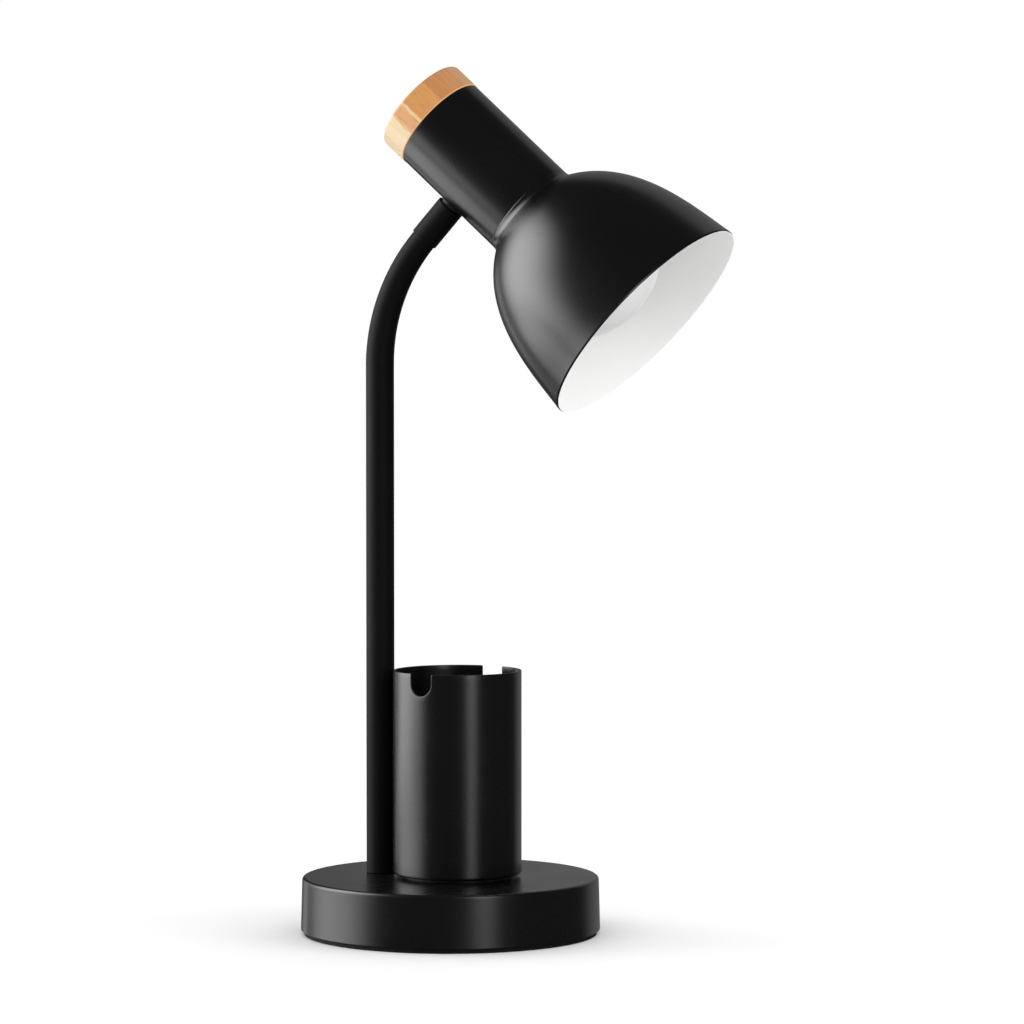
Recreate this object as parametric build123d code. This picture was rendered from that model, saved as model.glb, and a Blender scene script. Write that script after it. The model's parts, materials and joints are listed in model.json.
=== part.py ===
# Desk lamp with a pen cup: a round weighted base, an upright stem with a bending neck,
# a bell shade on a lamp tube with a wooden cap, and a cup for pens beside the stem.
# Millimetres. The origin is the middle of the base on the table, +Z is up, and the
# stem, the cup and the lamp head lie in the XZ plane, with the head reaching towards +X.

import os
from math import cos, degrees, radians, sin, sqrt

from build123d import *

os.makedirs("parts", exist_ok=True)

# Clearances and the overrun of cutting tools
fit_gap = 0.05            # a piece in its own seat
slip_gap = 0.2            # a screw in its clearance hole
joint_gap = 0.3           # between two neck links that turn on each other
overrun = 2.0             # how far a cutting tool passes its surface

# Cross slot of a screw, as shares of the screw's head
slot_length_share = 0.5
slot_width_share = 0.12
slot_depth_share = 0.25

# Base
base_diameter = 150.0
base_height = 28.6
base_draft = 0.7          # how much smaller the radius is at the top
base_wall = 1.5
base_edge_radius = 1.2
foot_height = 2.2
foot_inset = 1.6
foot_hole_diameter = 8.6  # round the head of a cover screw
cover_thickness = 1.2
cover_gap = 0.3
weight_gap = 8.8          # between the counterweight and the wall
weight_thickness = 11.0
post_diameter = 10.0
post_inset = 12.0         # from the counterweight's edge to the middle of a post
post_count = 3
cover_screw_diameter = 4.0
cover_screw_length = 9.0
cover_screw_head_diameter = 7.4
cover_screw_head_height = 1.7

# Cord inlet in the back wall of the base
inlet_height = 10.2
inlet_bore = 6.4
grommet_diameter = 9.0
grommet_flange_diameter = 12.4
grommet_flange = 1.4
grommet_edge_radius = 0.7

# Terminal block and the lead that runs from it up to the lamp holder
block_length = 16.0
block_width = 18.0
block_height = 8.0
block_corner_radius = 1.0
block_offset = 20.0       # middle of the block behind the stem
block_well_diameter = 4.0
block_well_depth = 3.0
block_well_spacing = 8.0
lead_diameter = 3.0
lead_height = 6.0
lead_bend_radius = 5.0

# Stem
stem_setback = 36.8       # from the back of the base to the middle of the stem
stem_diameter = 14.14
stem_wall = 1.2
stem_length = 255.9
bush_diameter = 10.0
bush_bore = 6.0
bush_insert = 15.0
bush_below_weight = 4.5
stem_washer_diameter = 20.0
stem_washer_thickness = 1.0
stem_nut_size = 14.0      # across the flats
stem_nut_height = 3.0

# Pen cup
cup_diameter = 64.3
cup_gap = 2.68            # between the stem and the cup
cup_height = 102.2
cup_wall = 1.0
cup_floor = 1.2
cup_corner_radius = 1.5
cup_rim_radius = 0.3
cup_lift = 1.4            # dark gap between the cup and the base
spacer_diameter = 54.0
notch_width = 12.0
notch_depth = 11.0
notch_turn = -12.5        # degrees from straight across the lamp
cup_screw_diameter = 4.0
cup_screw_length = 16.0
cup_screw_head_diameter = 8.0
cup_screw_head_height = 2.4
cup_washer_diameter = 13.0
cup_washer_thickness = 0.8
cup_nut_size = 7.0
cup_nut_height = 3.2
cup_nut_recess_diameter = 11.0
cup_nut_recess_depth = 5.0

# Neck: a hose that bends, cut into links that turn on domes
neck_bend_radius = 93.8
neck_bend = 42.1          # degrees from upright at the collar
neck_low_diameter = 14.2
neck_high_diameter = 12.9
hose_diameter = 10.8
hose_bore = 5.2
dome_radius = 8.6
pivot_count = 7
lead_end_gap = 0.2
bottom_fitting_insert = 18.0

# Collar and the fitting that carries the head
collar_diameter = 14.3
collar_length = 21.5
collar_edge_radius = 0.3
head_gap = 1.3            # from the collar to the lamp tube
shank_diameter = 9.8
spacer_ring_diameter = 11.6
head_washer_diameter = 16.0
head_washer_thickness = 0.8
head_nut_size = 14.0
head_nut_height = 2.6

# Lamp tube and wooden cap
tube_diameter = 51.1
tube_length = 67.6
tube_wall = 1.0
cap_overhang = 0.25
cap_height = 14.5
cap_edge_radius = 0.8
tenon_depth = 5.0
tenon_gap = 0.15
tenon_recess_diameter = 19.0
tenon_recess_depth = 4.0

# Bell shade, seen from the shoulder down to the mouth
shade_length = 79.5
shoulder_step = 0.05      # how far the shoulder starts outside the tube
shade_mouth_radius = 60.5
shade_wall = 1.0
shoulder_reach = 19.0     # along the axis, to the first handle of the curve
shoulder_rise = 30.7      # outwards, to the first handle
mouth_reach = 20.5        # back from the mouth, to the second handle
mouth_draw = 3.3          # inwards, to the second handle
spigot_length = 8.0

# Lamp holder with its plate, screws, threaded tube and nuts
plate_thickness = 1.2
plate_screw_diameter = 3.0
plate_screw_length = 11.0
plate_screw_head_diameter = 5.6
plate_screw_head_height = 1.8
plate_screw_inset = 7.55  # from the inside of the tube to a screw
holder_tube_diameter = 10.0
holder_tube_bore = 6.0
holder_nut_size = 14.0
holder_nut_height = 2.6
holder_tube_insert = 4.0
holder_drop = 7.4         # from the plate down to the back of the holder
holder_skirt_gap = 0.46   # between the skirt and the nut on the arm's shank
holder_skirt_length = 13.5
holder_step = 3.3         # how far the skirt stands out from the back
holder_back_length = 21.0
arm_above_skirt = 3.0
holder_edge_radius = 1.5
holder_block = 9.2        # solid length at the back, above the cavity
holder_wall_share = 0.127 # of the skirt's diameter
thread_shell_wall = 0.8
thread_shell_length = 20.0
thread_gap = 0.3
contact_thickness = 0.6
contact_length = 12.0
contact_width = 5.0
lead_entry_diameter = 3.8
lead_entry_inset = 5.0    # from the side of the holder's back
lead_entry_depth = 4.0
lead_side_gap = 0.5       # between the lead and the holder's back
lead_turn_radius = 3.2    # round the shank's end and over the holder

# Bulb: an opal globe on a white housing with a screw cap
globe_diameter = 80.0
globe_nose = 37.0
globe_wall = 1.5
globe_centre_depth = 33.9
globe_back_height = 29.9
bulb_neck_step = 0.8      # how far the neck stands out from the screw cap
bulb_neck_rise = 14.0     # length of the flare between the globe and the neck
flare_draw = 5.0          # how far the flare keeps the slope of the globe
screw_cap_gap = 0.35      # between the cap's crests and the thread shell
screw_cap_length = 23.0
screw_cap_root_depth = 0.9
screw_cap_pitch = 3.6
screw_cap_turns = 5
insulator_diameter = 17.0
insulator_height = 1.6
tip_diameter = 9.6
tip_height = 0.8
tip_gap = 0.2


# Places worked out from the sizes above
cover_top = foot_height + cover_thickness
weight_top = base_height - base_wall
weight_bottom = weight_top - weight_thickness
weight_diameter = base_diameter - 2 * (base_draft + base_wall + weight_gap)
post_circle_diameter = weight_diameter - 2 * post_inset
stem_x = stem_setback - base_diameter / 2
stem_top = base_height + stem_length
cup_x = stem_x + stem_diameter / 2 + cup_gap + cup_diameter / 2
cup_bottom = base_height + cup_lift
cup_inside_floor = cup_bottom + cup_floor
cup_rim = cup_bottom + cup_height
bend_centre_x = stem_x + neck_bend_radius
neck_length = neck_bend_radius * radians(neck_bend)
pivot_spacing = neck_length / pivot_count
bend_axis = Axis((bend_centre_x, 0, stem_top), (0, 1, 0))
tube_radius = tube_diameter / 2
tube_inner_radius = tube_radius - tube_wall
cap_diameter = tube_diameter + 2 * cap_overhang
shade_shoulder_radius = tube_radius + shoulder_step
plate_screw_spacing = 2 * (tube_inner_radius - plate_screw_inset)
plate_top = tube_length - tenon_depth
plate_bottom = plate_top - plate_thickness
holder_back = plate_top - plate_thickness - holder_drop
skirt_top = holder_back - holder_back_length
holder_mouth = skirt_top - holder_skirt_length
arm_height = skirt_top + arm_above_skirt  # from the shade's shoulder up to the arm
washer_edge = sqrt(tube_inner_radius ** 2 - (head_washer_diameter / 2) ** 2)
shank_end = washer_edge - fit_gap - head_washer_thickness - head_nut_height  # from the tube's axis
holder_skirt_diameter = 2 * (shank_end - holder_skirt_gap)
holder_back_diameter = holder_skirt_diameter - 2 * holder_step
holder_cavity_diameter = holder_skirt_diameter * (1 - 2 * holder_wall_share)
lead_entry_offset = holder_back_diameter / 2 - lead_entry_inset
lead_side_radius = holder_back_diameter / 2 + lead_side_gap + lead_diameter / 2
screw_cap_diameter = holder_cavity_diameter - 2 * (fit_gap + thread_shell_wall + screw_cap_gap)
bulb_neck_diameter = screw_cap_diameter + 2 * bulb_neck_step
block_face = holder_back - holder_block
contact_face = block_face - contact_thickness
bulb_tip = contact_face - tip_gap
cap_shoulder = bulb_tip - tip_height - insulator_height - screw_cap_length


# Small shapes
def turned(*corners):
    """A solid turned about Z from (radius, height) corners."""
    return revolve(make_face(Plane.XZ * Polyline(*corners, close=True)), Axis.Z)


def disc(diameter, low, high):
    """A plain cylinder on Z between two heights."""
    return Pos(0, 0, low) * extrude(Circle(diameter / 2), amount=high - low)


def ring(outer, inner, low, high):
    """A flat-ended ring on Z between two heights."""
    return Pos(0, 0, low) * extrude(Circle(outer / 2) - Circle(inner / 2), amount=high - low)


def hexagon_nut(across_flats, bore, low, high):
    """A nut on Z between two heights."""
    outline = RegularPolygon(across_flats / 2, 6, major_radius=False) - Circle(bore / 2)
    return Pos(0, 0, low) * extrude(outline, amount=high - low)


def pan_screw(diameter, length, head_diameter, head_height):
    """A screw on Z with its head above zero, its shank below and a cross slot."""
    head = disc(head_diameter, 0, head_height)
    head = fillet(head.edges().group_by(Axis.Z)[-1], head_height / 2)
    depth = head_height * slot_depth_share
    slot = Box(head_diameter * slot_length_share, head_diameter * slot_width_share, 2 * depth)
    slots = slot + Rot(0, 0, 90) * slot
    return head - Pos(0, 0, head_height) * slots + disc(diameter, -length, 0)


def around(count, diameter, piece):
    """Copies of a piece spread evenly on a circle."""
    turn = 360 / count
    return [Rot(0, 0, turn * index) * Pos(diameter / 2, 0, 0) * piece for index in range(count)]


def save(name, *pieces):
    """Write the solids of one node."""
    solids = [solid for piece in pieces for solid in piece.solids()]
    export_step(solids[0] if len(solids) == 1 else Compound(children=solids), f"parts/{name}.step")


# Places along the neck and on the head
def neck_place(arc):
    """The frame at a distance along the bend, with its Z axis along the neck."""
    turn = degrees(arc / neck_bend_radius)
    return Pos(bend_centre_x, 0, stem_top) * Rot(0, turn, 0) * Pos(-neck_bend_radius, 0, 0)


def hose_ring(outer, bore, start, end):
    """A length of the bend with a bore, between two distances along it."""
    section = Circle(outer / 2) - Circle(bore / 2) if bore else Circle(outer / 2)
    return revolve(neck_place(start) * section, bend_axis, degrees((end - start) / neck_bend_radius))


def hose(diameter, start, end):
    """A solid round length of the bend between two distances along it."""
    return hose_ring(diameter, 0, start, end)


def pivot_arc(index):
    """How far along the bend a pivot lies; pivots are numbered from 1."""
    return (index - 1 / 2) * pivot_spacing


collar_place = neck_place(neck_length)
tilt = radians(neck_bend)
reach_to_axis = collar_length + head_gap + tube_radius
axis_point = collar_place * Pos(0, 0, reach_to_axis)
head_direction = Vector(-cos(tilt), 0, sin(tilt))
crease_point = axis_point.position - head_direction * arm_height
head = Plane(origin=crease_point, x_dir=(sin(tilt), 0, cos(tilt)), z_dir=head_direction)
# On the head, Z runs up the lamp tube from the shade's shoulder, and the arm comes from -X.
head_side = Pos(0, 0, arm_height) * Rot(0, -90, 0)


# Base
def wall_radius(height):
    """Outside radius of the base at a height."""
    rise = (height - foot_height) / (base_height - foot_height)
    return base_diameter / 2 - base_draft * rise


def base_shell():
    bottom = wall_radius(foot_height)
    top = wall_radius(base_height)
    inside_top = base_height - base_wall
    shell = turned(
        (0, base_height), (top, base_height), (bottom, foot_height),
        (bottom - base_wall, foot_height), (top - base_wall, inside_top), (0, inside_top),
    )
    top_edge = shell.edges().filter_by(GeomType.CIRCLE).sort_by(Axis.Z)[-1]
    shell = fillet(top_edge, base_edge_radius)
    shell -= Pos(stem_x, 0, 0) * disc(bush_diameter + slip_gap, foot_height, base_height + overrun)
    shell -= Pos(cup_x, 0, 0) * disc(cup_screw_diameter + slip_gap, foot_height, base_height + overrun)
    hole = extrude(Circle(grommet_diameter / 2 + fit_gap), amount=base_diameter / 2)
    return shell - Pos(0, 0, inlet_height) * Rot(0, -90, 0) * hole


def counterweight():
    weight = disc(weight_diameter, weight_bottom, weight_top)
    for post in around(post_count, post_circle_diameter, disc(post_diameter, cover_top, weight_bottom)):
        weight += post
    screw_hole = disc(cover_screw_diameter + fit_gap, foot_height, weight_top - base_wall)
    for hole in around(post_count, post_circle_diameter, screw_hole):
        weight -= hole
    weight -= Pos(stem_x, 0, 0) * disc(bush_diameter + slip_gap, foot_height, base_height)
    weight -= Pos(cup_x, 0, 0) * disc(cup_screw_diameter + slip_gap, foot_height, base_height)
    recess_top = weight_bottom + cup_nut_recess_depth
    return weight - Pos(cup_x, 0, 0) * disc(cup_nut_recess_diameter, foot_height, recess_top)


def bottom_cover():
    cover = disc(base_diameter - 2 * base_wall - 2 * cover_gap, foot_height, cover_top)
    hole = disc(cover_screw_diameter + slip_gap, 0, base_height)
    for screw_hole in around(post_count, post_circle_diameter, hole):
        cover -= screw_hole
    return cover


def cover_screws():
    screw = pan_screw(
        cover_screw_diameter, cover_screw_length, cover_screw_head_diameter, cover_screw_head_height
    )
    turned_down = Pos(0, 0, foot_height) * Rot(180, 0, 0) * screw
    return around(post_count, post_circle_diameter, turned_down)


def foot_pad():
    pad = disc(base_diameter - 2 * foot_inset, 0, foot_height)
    hole = disc(foot_hole_diameter, -overrun, foot_height + overrun)
    for screw_hole in around(post_count, post_circle_diameter, hole):
        pad -= screw_hole
    return pad


def cord_grommet():
    wall_outside = wall_radius(inlet_height - grommet_flange_diameter / 2)
    wall_inside = wall_radius(inlet_height + grommet_flange_diameter / 2) - base_wall
    half_flange = grommet_flange_diameter / 2
    inner_face = sqrt(wall_inside ** 2 - half_flange ** 2) - fit_gap
    outer_face = wall_outside + fit_gap
    grommet = disc(grommet_diameter, inner_face, outer_face)
    grommet += disc(grommet_flange_diameter, inner_face - grommet_flange, inner_face)
    flange = disc(grommet_flange_diameter, outer_face, outer_face + grommet_flange)
    grommet += fillet(flange.edges().group_by(Axis.Z)[-1], grommet_edge_radius)
    grommet -= disc(inlet_bore, inner_face - overrun, outer_face + overrun)
    return Pos(0, 0, inlet_height) * Rot(0, -90, 0) * grommet


# Lead and its terminal block
def terminal_block():
    body = Pos(0, 0, block_height / 2) * Box(block_length, block_width, block_height)
    body = fillet(body.edges().filter_by(Axis.Z), block_corner_radius)
    well = Pos(0, 0, block_height) * disc(block_well_diameter, -block_well_depth, overrun)
    for side in (-1, 1):
        for end in (-1, 1):
            body -= Pos(end * block_well_spacing / 2, side * block_well_spacing / 2, 0) * well
    return Pos(stem_x - block_offset, 0, cover_top) * body


def lead_stem():
    """From the terminal block to the stem, up it, and into the first stretch of the neck."""
    start_x = stem_x - block_offset + block_length / 2
    route = FilletPolyline(
        (start_x, lead_height), (stem_x, lead_height), (stem_x, stem_top), radius=lead_bend_radius
    )
    section = Plane(origin=(start_x, 0, lead_height), z_dir=(1, 0, 0)) * Circle(lead_diameter / 2)
    return sweep(section, path=Plane.XZ * route) + lead_in_hose(0)


def lead_in_hose(link):
    """The stretch of the lead inside one link, short of the domes at its ends."""
    start = pivot_arc(link) + dome_radius + joint_gap + lead_end_gap if link else 0
    dome_reach = sqrt(dome_radius ** 2 - (lead_diameter / 2) ** 2)
    return hose(lead_diameter, start, pivot_arc(link + 1) + dome_reach - lead_end_gap)


def lead_head():
    """Through the shank, along the holder, and over into its back."""
    low_end = pivot_arc(pivot_count) + dome_radius + joint_gap + lead_end_gap - neck_length
    start = low_end - reach_to_axis
    top = plate_bottom - lead_end_gap - lead_diameter / 2
    entry_end = holder_back - lead_entry_depth + lead_end_gap
    route = FilletPolyline(
        (start, arm_height), (-lead_side_radius, arm_height), (-lead_side_radius, top),
        (-lead_entry_offset, top), (-lead_entry_offset, entry_end), radius=lead_turn_radius,
    )
    section = Plane(origin=(start, 0, arm_height), z_dir=(1, 0, 0)) * Circle(lead_diameter / 2)
    return head * sweep(section, path=Plane.XZ * route)


# Stem
def stem_tube():
    tube = ring(stem_diameter, stem_diameter - 2 * stem_wall, base_height, stem_top)
    return Pos(stem_x, 0, 0) * tube


def stem_bush():
    insert = stem_diameter - 2 * stem_wall - 2 * fit_gap
    bush = disc(insert, base_height, base_height + bush_insert)
    bush += disc(bush_diameter, weight_bottom - bush_below_weight, base_height)
    bush -= disc(bush_bore, foot_height, base_height + bush_insert + overrun)
    return Pos(stem_x, 0, 0) * bush


def stem_washer():
    low = weight_bottom - stem_washer_thickness
    return Pos(stem_x, 0, 0) * ring(stem_washer_diameter, bush_diameter + slip_gap, low, weight_bottom)


def stem_nut():
    high = weight_bottom - stem_washer_thickness
    nut = hexagon_nut(stem_nut_size, bush_diameter + 2 * fit_gap, high - stem_nut_height, high)
    return Pos(stem_x, 0, 0) * nut


# Pen cup
def notch():
    """A U-shaped slot that passes through both sides of the cup's rim."""
    radius = notch_width / 2
    straight = notch_depth - radius
    straight_sides = Rectangle(notch_width, straight + overrun)
    outline = Circle(radius) + Pos(0, (straight + overrun) / 2) * straight_sides
    slot = extrude(outline, amount=cup_diameter / 2 + overrun, both=True)
    return Pos(cup_x, 0, cup_rim - straight) * Rot(0, 0, notch_turn) * Rot(90, 0, 0) * slot


def pen_cup():
    body = disc(cup_diameter, cup_bottom, cup_rim)
    body = fillet(body.edges().group_by(Axis.Z)[0], cup_corner_radius)
    body -= disc(cup_diameter - 2 * cup_wall, cup_inside_floor, cup_rim + overrun)
    body = fillet(body.edges().group_by(Axis.Z)[-1], cup_rim_radius)
    body -= disc(cup_screw_diameter + slip_gap, cup_bottom - overrun, cup_inside_floor + overrun)
    return Pos(cup_x, 0, 0) * body - notch()


def cup_spacer():
    spacer = ring(spacer_diameter, cup_screw_diameter + slip_gap, base_height, cup_bottom)
    return Pos(cup_x, 0, 0) * spacer


def cup_washer():
    low = cup_inside_floor
    washer = ring(cup_washer_diameter, cup_screw_diameter + slip_gap, low, low + cup_washer_thickness)
    return Pos(cup_x, 0, 0) * washer


def cup_screw():
    screw = pan_screw(cup_screw_diameter, cup_screw_length, cup_screw_head_diameter, cup_screw_head_height)
    return Pos(cup_x, 0, cup_inside_floor + cup_washer_thickness) * screw


def cup_nut():
    high = weight_bottom + cup_nut_recess_depth
    nut = hexagon_nut(cup_nut_size, cup_screw_diameter + 2 * fit_gap, high - cup_nut_height, high)
    return Pos(cup_x, 0, 0) * nut


# Neck
def dome_cut(diameter, bore, link):
    """A length of hose from the hollow over one pivot, or the stem, to the dome over the next."""
    start = pivot_arc(link) if link else 0
    end = pivot_arc(link + 1) + dome_radius + overrun
    length = hose_ring(diameter, bore, start, end)
    if link:
        length -= neck_place(start) * Sphere(dome_radius + joint_gap)
    beyond = hose(diameter + overrun, pivot_arc(link + 1), end + overrun)
    return length - (beyond - neck_place(pivot_arc(link + 1)) * Sphere(dome_radius))


def sleeve_diameter(link):
    """The sleeve narrows evenly from the stem to the collar."""
    share = link / (pivot_count - 1)
    return neck_low_diameter + (neck_high_diameter - neck_low_diameter) * share


def hose_core(link):
    return dome_cut(hose_diameter, hose_bore, link)


def hose_sleeve(link):
    return dome_cut(sleeve_diameter(link), hose_diameter + 2 * fit_gap, link)


def neck_bottom_fitting():
    insert = stem_diameter - 2 * stem_wall - 2 * fit_gap
    return Pos(stem_x, 0, 0) * ring(insert, hose_bore, stem_top - bottom_fitting_insert, stem_top)


# Collar and the fitting between the neck and the head
def last_hollow():
    """The hollow in the collar and its fitting, round the last pivot of the neck."""
    return neck_place(pivot_arc(pivot_count)) * Sphere(dome_radius + joint_gap)


def neck_collar():
    collar = ring(collar_diameter, hose_diameter + 2 * fit_gap, 0, collar_length)
    outer_edge = collar.edges().group_by(Axis.Z)[-1].sort_by(SortBy.LENGTH)[-1]
    collar = fillet(outer_edge, collar_edge_radius)
    return collar_place * collar - last_hollow()


def neck_top_fitting():
    fitting = disc(hose_diameter, 0, collar_length)
    fitting += disc(shank_diameter, collar_length, reach_to_axis - shank_end)
    fitting -= disc(hose_bore, -overrun, reach_to_axis)
    return collar_place * fitting - last_hollow()


def head_spacer():
    spacer = ring(spacer_ring_diameter, shank_diameter + 2 * fit_gap, collar_length, reach_to_axis)
    tube = head * disc(tube_diameter, 0, tube_length)
    return collar_place * spacer - tube


def head_washer():
    high = shank_end + head_nut_height + head_washer_thickness
    washer = ring(head_washer_diameter, shank_diameter + slip_gap, high - head_washer_thickness, high)
    return head * head_side * washer


def head_nut():
    high = shank_end + head_nut_height
    nut = hexagon_nut(head_nut_size, shank_diameter + 2 * fit_gap, shank_end, high)
    return head * head_side * nut


# Lamp tube, cap and shade
def head_tube():
    tube = ring(tube_diameter, 2 * tube_inner_radius, 0, tube_length)
    hole = disc(shank_diameter + slip_gap, shank_end, tube_radius + overrun)
    return head * (tube - head_side * hole)


def wood_cap():
    cap = disc(cap_diameter, tube_length, tube_length + cap_height)
    cap = fillet(cap.edges().group_by(Axis.Z)[-1], cap_edge_radius)
    cap += disc(2 * (tube_inner_radius - tenon_gap), plate_top, tube_length)
    cap -= disc(tenon_recess_diameter, plate_top - overrun, plate_top + tenon_recess_depth)
    for side in (-1, 1):
        pilot = disc(plate_screw_diameter + fit_gap, plate_top, plate_bottom + plate_screw_length)
        cap -= Pos(0, side * plate_screw_spacing / 2, 0) * pilot
    return head * cap


def bell_curve(inset):
    """The bell from the shoulder to the mouth, moved inwards by an inset."""
    return Bezier(
        (shade_shoulder_radius - inset, -inset * shoulder_reach / shoulder_rise),
        (shade_shoulder_radius + shoulder_rise - inset, -shoulder_reach - inset / 2),
        (shade_mouth_radius - mouth_draw - inset, -shade_length + mouth_reach),
        (shade_mouth_radius - inset, -shade_length),
    )


def lamp_shade():
    spigot_outer = tube_inner_radius - fit_gap
    spigot_inner = spigot_outer - shade_wall
    outside = bell_curve(0)
    inside = bell_curve(shade_wall)
    rest = Polyline(
        inside @ 0, (spigot_inner, (inside @ 0).Y), (spigot_inner, spigot_length),
        (spigot_outer, spigot_length), (spigot_outer, 0), outside @ 0,
    )
    mouth_edge = Line(outside @ 1, inside @ 1)
    profile = make_face([Plane.XZ * part for part in (outside, inside, rest, mouth_edge)])
    return head * revolve(profile, Axis.Z)


# Lamp holder
def holder_plate():
    diameter = 2 * (tube_inner_radius - tenon_gap)
    plate = ring(diameter, holder_tube_diameter + slip_gap, plate_bottom, plate_top)
    for side in (-1, 1):
        hole = disc(plate_screw_diameter + slip_gap, plate_bottom - overrun, plate_top + overrun)
        plate -= Pos(0, side * plate_screw_spacing / 2, 0) * hole
    return head * plate


def plate_screws():
    screw = pan_screw(
        plate_screw_diameter, plate_screw_length, plate_screw_head_diameter, plate_screw_head_height
    )
    upward = Pos(0, 0, plate_bottom) * Rot(180, 0, 0) * screw
    return [head * Pos(0, side * plate_screw_spacing / 2, 0) * upward for side in (-1, 1)]


def holder_tube():
    low = holder_back - holder_tube_insert + fit_gap
    high = plate_top + holder_nut_height
    return head * ring(holder_tube_diameter, holder_tube_bore, low, high)


def holder_nuts():
    bore = holder_tube_diameter + 2 * fit_gap
    above = hexagon_nut(holder_nut_size, bore, plate_top, plate_top + holder_nut_height)
    below = hexagon_nut(holder_nut_size, bore, plate_bottom - holder_nut_height, plate_bottom)
    return head * above, head * below


def lamp_holder():
    body = disc(holder_skirt_diameter, holder_mouth, skirt_top)
    body += disc(holder_back_diameter, skirt_top, holder_back)
    body = fillet(body.edges().group_by(Axis.Z)[-1], holder_edge_radius)
    body -= disc(holder_cavity_diameter, holder_mouth - overrun, block_face)
    above = holder_back + overrun
    body -= disc(holder_tube_diameter + 2 * fit_gap, holder_back - holder_tube_insert, above)
    entry = disc(lead_entry_diameter, holder_back - lead_entry_depth, above)
    return head * (body - Pos(-lead_entry_offset, 0, 0) * entry)


def thread_shell():
    outer = holder_cavity_diameter - 2 * fit_gap
    high = contact_face - thread_gap
    return head * ring(outer, outer - 2 * thread_shell_wall, high - thread_shell_length, high)


def centre_contact():
    tongue = Box(contact_length, contact_width, contact_thickness)
    return head * Pos(0, 0, contact_face + contact_thickness / 2) * tongue


# Bulb
def globe_body(inset):
    """The globe from its nose up to its back, filled, moved inwards by an inset."""
    radius = globe_diameter / 2 - inset
    centre = -globe_centre_depth
    half_back = globe_back_height / 2
    back = centre + globe_back_height
    front = EllipticalCenterArc((0, centre), radius, globe_nose - inset, start_angle=270, arc_size=90)
    rear = ThreePointArc(
        (radius, centre), (sqrt(radius ** 2 - half_back ** 2), centre + half_back),
        (sqrt(radius ** 2 - globe_back_height ** 2), back),
    )
    rest = Polyline(rear @ 1, (0, back), front @ 0)
    return revolve(make_face([Plane.XZ * part for part in (front, rear, rest)]), Axis.Z)


def bulb_globe():
    return head * (globe_body(0) - globe_body(globe_wall))


def bulb_housing():
    low = globe_back_height - globe_centre_depth
    wide = sqrt((globe_diameter / 2) ** 2 - globe_back_height ** 2)
    neck = bulb_neck_diameter / 2
    sphere_slope = globe_back_height / wide
    flare = Bezier(
        (wide, low), (wide - sphere_slope * flare_draw, low + flare_draw),
        (neck, low + flare_draw), (neck, low + bulb_neck_rise),
    )
    rest = Polyline(
        (neck, low + bulb_neck_rise), (neck, cap_shoulder), (0, cap_shoulder), (0, low), (wide, low)
    )
    return head * revolve(make_face([Plane.XZ * flare, Plane.XZ * rest]), Axis.Z)


def screw_cap():
    crest = screw_cap_diameter / 2
    root = crest - screw_cap_root_depth
    top = cap_shoulder + screw_cap_length
    first = cap_shoulder + (screw_cap_length - screw_cap_turns * screw_cap_pitch) / 2
    outline = [(0, cap_shoulder), (crest, cap_shoulder)]
    for index in range(screw_cap_turns):
        low = first + index * screw_cap_pitch
        outline += [(root, low), (crest, low + screw_cap_pitch / 2)]
    outline += [(root, first + screw_cap_turns * screw_cap_pitch)]
    outline += [(insulator_diameter / 2, top), (0, top)]
    return head * turned(*outline)


def cap_insulator():
    low = cap_shoulder + screw_cap_length
    high = low + insulator_height
    cone = turned((0, low), (insulator_diameter / 2, low), (tip_diameter / 2, high), (0, high))
    return head * cone


def cap_tip():
    return head * disc(tip_diameter, bulb_tip - tip_height, bulb_tip)


save("base_shell", base_shell())
save("counterweight", counterweight())
save("bottom_cover", bottom_cover())
save("cover_screws", *cover_screws())
save("foot_pad", foot_pad())
save("cord_grommet", cord_grommet())
save("terminal_block", terminal_block())
save("lead_stem", lead_stem())
save("stem_tube", stem_tube())
save("stem_bush", stem_bush())
save("stem_washer", stem_washer())
save("stem_nut", stem_nut())
save("pen_cup", pen_cup())
save("cup_spacer", cup_spacer())
save("cup_washer", cup_washer())
save("cup_screw", cup_screw())
save("cup_nut", cup_nut())
save("neck_bottom_fitting", neck_bottom_fitting())
for link in range(pivot_count):
    save(f"hose_core_{link}", hose_core(link))
    save(f"hose_sleeve_{link}", hose_sleeve(link))
    if link:
        save(f"lead_neck_{link}", lead_in_hose(link))
save("neck_collar", neck_collar())
save("neck_top_fitting", neck_top_fitting())
save("head_spacer", head_spacer())
save("head_washer", head_washer())
save("head_nut", head_nut())
save("head_tube", head_tube())
save("wood_cap", wood_cap())
save("lamp_shade", lamp_shade())
save("holder_plate", holder_plate())
save("plate_screws", *plate_screws())
save("holder_tube", holder_tube())
save("holder_nuts", *holder_nuts())
save("lamp_holder", lamp_holder())
save("thread_shell", thread_shell())
save("centre_contact", centre_contact())
save("bulb_globe", bulb_globe())
save("bulb_housing", bulb_housing())
save("screw_cap", screw_cap())
save("cap_insulator", cap_insulator())
save("cap_tip", cap_tip())
save("lead_head", lead_head())
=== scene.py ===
import json
from math import asin, cos, pi, radians, sin, sqrt

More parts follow.
